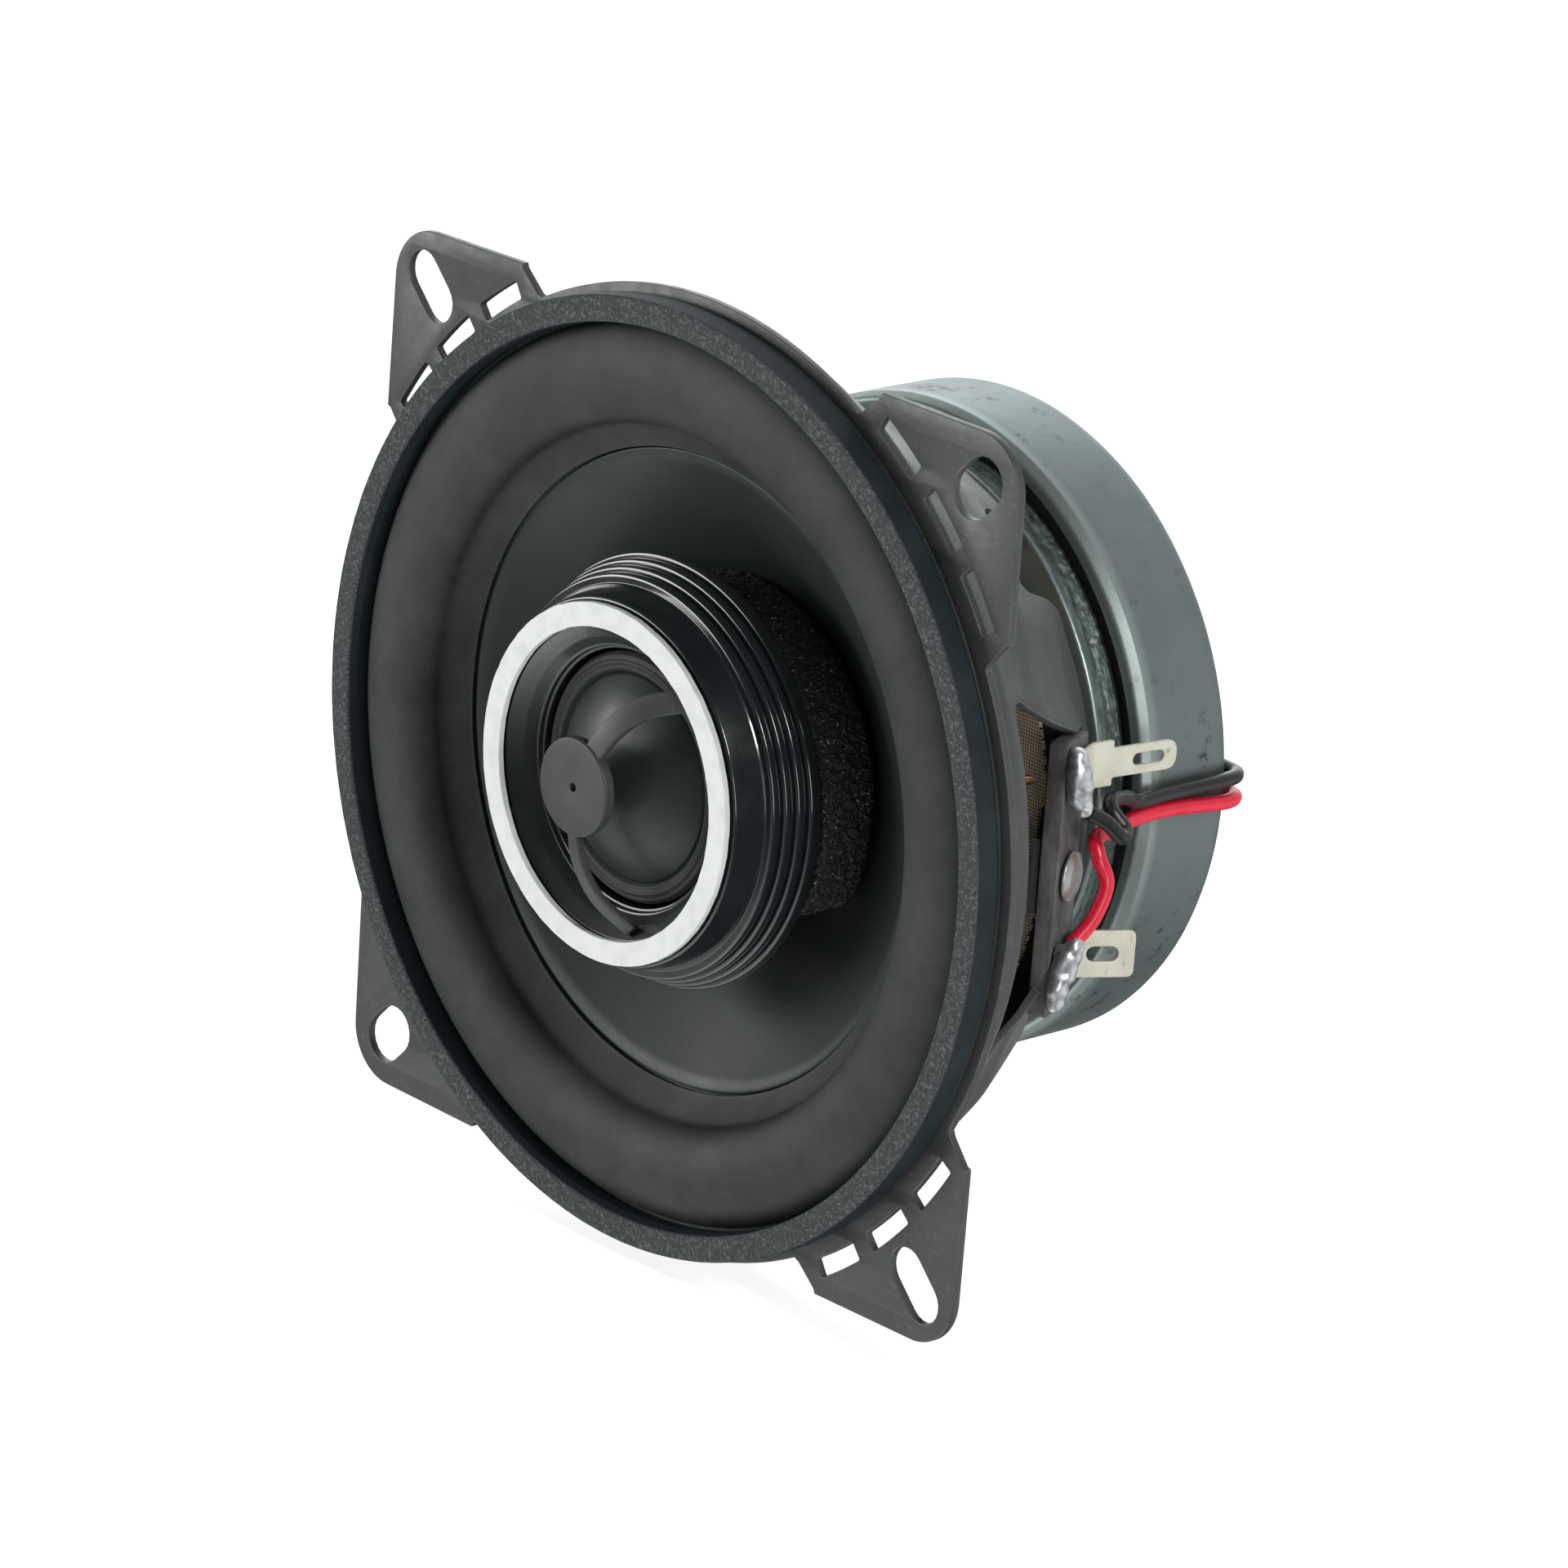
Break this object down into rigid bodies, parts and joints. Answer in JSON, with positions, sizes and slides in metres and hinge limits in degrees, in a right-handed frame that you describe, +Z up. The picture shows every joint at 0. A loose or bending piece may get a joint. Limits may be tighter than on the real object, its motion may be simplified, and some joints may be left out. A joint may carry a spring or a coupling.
{
  "type": "coaxial car speaker",
  "caption": "Round car loudspeaker with four slotted mounting ears, a sprung cone, a dome tweeter on a post in front of it, a canned magnet and side terminals.",
  "frame": {"origin": "on the speaker's axis, in the plane of the mounting ears' back faces", "axes": "-Y is the way the speaker faces, +Y runs to the magnet, +Z is up, and the terminals are on the +X side"},
  "size_m": [0.1006, 0.0616, 0.1006],
  "materials": {
    "black_paint": "satin black paint on stamped steel",
    "gasket_foam": "dense speckled grey sealing ring",
    "surround_rubber": "matt rubber",
    "cone_plastic": "satin polypropylene",
    "gloss_black": "polished black moulding",
    "satin_black": "satin black moulding",
    "white_trim": "white printed ring",
    "open_foam": "black open-cell foam",
    "zinc_plate": "greenish zinc plating with a sheared rim",
    "can_steel": "plated steel with faint stains",
    "ferrite": "sintered ferrite",
    "phenolic": "dark phenolic board",
    "tinned_brass": "tin-plated brass",
    "solder": "cooled solder",
    "rivet_steel": "bright rivet",
    "spider_cloth": "resin-dipped woven cotton",
    "kapton": "amber film",
    "copper": "enamelled copper wire",
    "red_pvc": "red PVC insulation",
    "black_pvc": "black PVC insulation"
  },
  "bodies": {
    "root": {"basket": "black_paint", "surround": "surround_rubber", "gasket_ring": "gasket_foam", "spider": "spider_cloth", "top_plate": "zinc_plate", "magnet_ring": "ferrite", "pole_yoke": "zinc_plate", "magnet_can": "can_steel", "seat_rivet_1": "rivet_steel", "seat_rivet_2": "rivet_steel", "seat_rivet_3": "rivet_steel", "seat_rivet_4": "rivet_steel", "tweeter_housing": "gloss_black", "trim_ring": "white_trim", "phase_plug": "satin_black", "dome_suspension": "surround_rubber", "tweeter_pole_disc": "zinc_plate", "tweeter_magnet": "ferrite", "tweeter_yoke": "zinc_plate", "tweeter_base": "satin_black", "crossover_capacitor": "black_pvc", "foam_ring": "open_foam", "tweeter_post": "zinc_plate", "post_nut": "rivet_steel", "terminal_strip": "phenolic", "strip_rivet": "rivet_steel", "lug_small": "tinned_brass", "lug_large": "tinned_brass", "solder_small": "solder", "solder_large": "solder", "lead_red": "red_pvc", "lead_black": "black_pvc", "tinsel_lead_upper": "copper", "tinsel_lead_lower": "copper"},
    "cone_assembly": {"cone": "cone_plastic", "voice_coil_former": "kapton", "voice_coil": "copper"},
    "tweeter_diaphragm": {"tweeter_dome": "satin_black", "tweeter_coil": "copper"}
  },
  "joints": [
    {"name": "cone_travel", "type": "slide", "parent": "root", "child": "cone_assembly", "axis": [0, -1, 0], "range_m": [-0.003, 0.003], "stiffness_N_per_m": 1200, "deforming": ["surround", "spider", "foam_ring", "tinsel_lead_upper", "tinsel_lead_lower"]},
    {"name": "dome_travel", "type": "slide", "parent": "root", "child": "tweeter_diaphragm", "axis": [0, -1, 0], "range_m": [-0.00025, 0.00025], "stiffness_N_per_m": 150, "deforming": ["dome_suspension"]}
  ]
}
